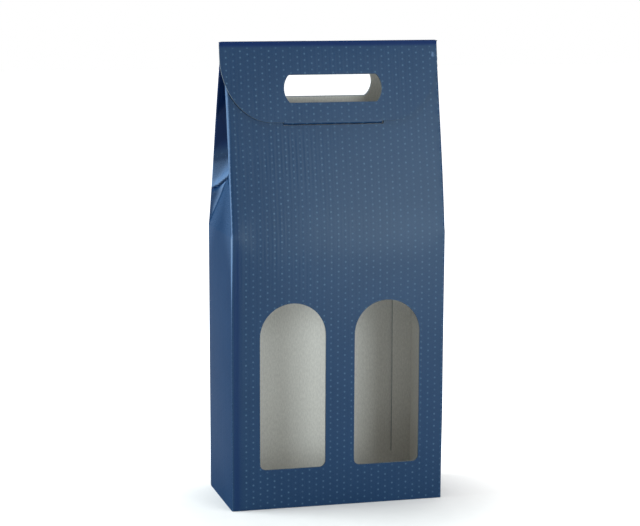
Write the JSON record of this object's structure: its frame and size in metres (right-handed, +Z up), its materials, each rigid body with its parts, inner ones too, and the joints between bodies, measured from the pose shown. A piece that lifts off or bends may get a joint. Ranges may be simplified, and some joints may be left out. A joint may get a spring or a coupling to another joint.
{
  "type": "two-bottle carrier box",
  "caption": "Folded cardboard carrier box with gable top, hand hole, tuck-in closing flap and arched windows in its front.",
  "frame": {"origin": "middle of the base's underside, on the surface that the box stands on", "axes": "+Z up, +X to the right along the width, -Y out of the windowed front"},
  "size_m": [0.184, 0.09, 0.385],
  "materials": {
    "printed_board": "micro-flute board, printed dark blue with lighter blue dots outside, pale grey inside"
  },
  "bodies": {
    "carton": {"carton": "printed_board"},
    "closing_flap": {"closing_flap": "printed_board"}
  },
  "joints": [
    {"name": "flap_hinge", "type": "hinge", "parent": "carton", "child": "closing_flap", "pos_m": [0, -0.0225, 0.38425], "axis": [-1, 0, 0], "range_deg": [0, 148]}
  ]
}
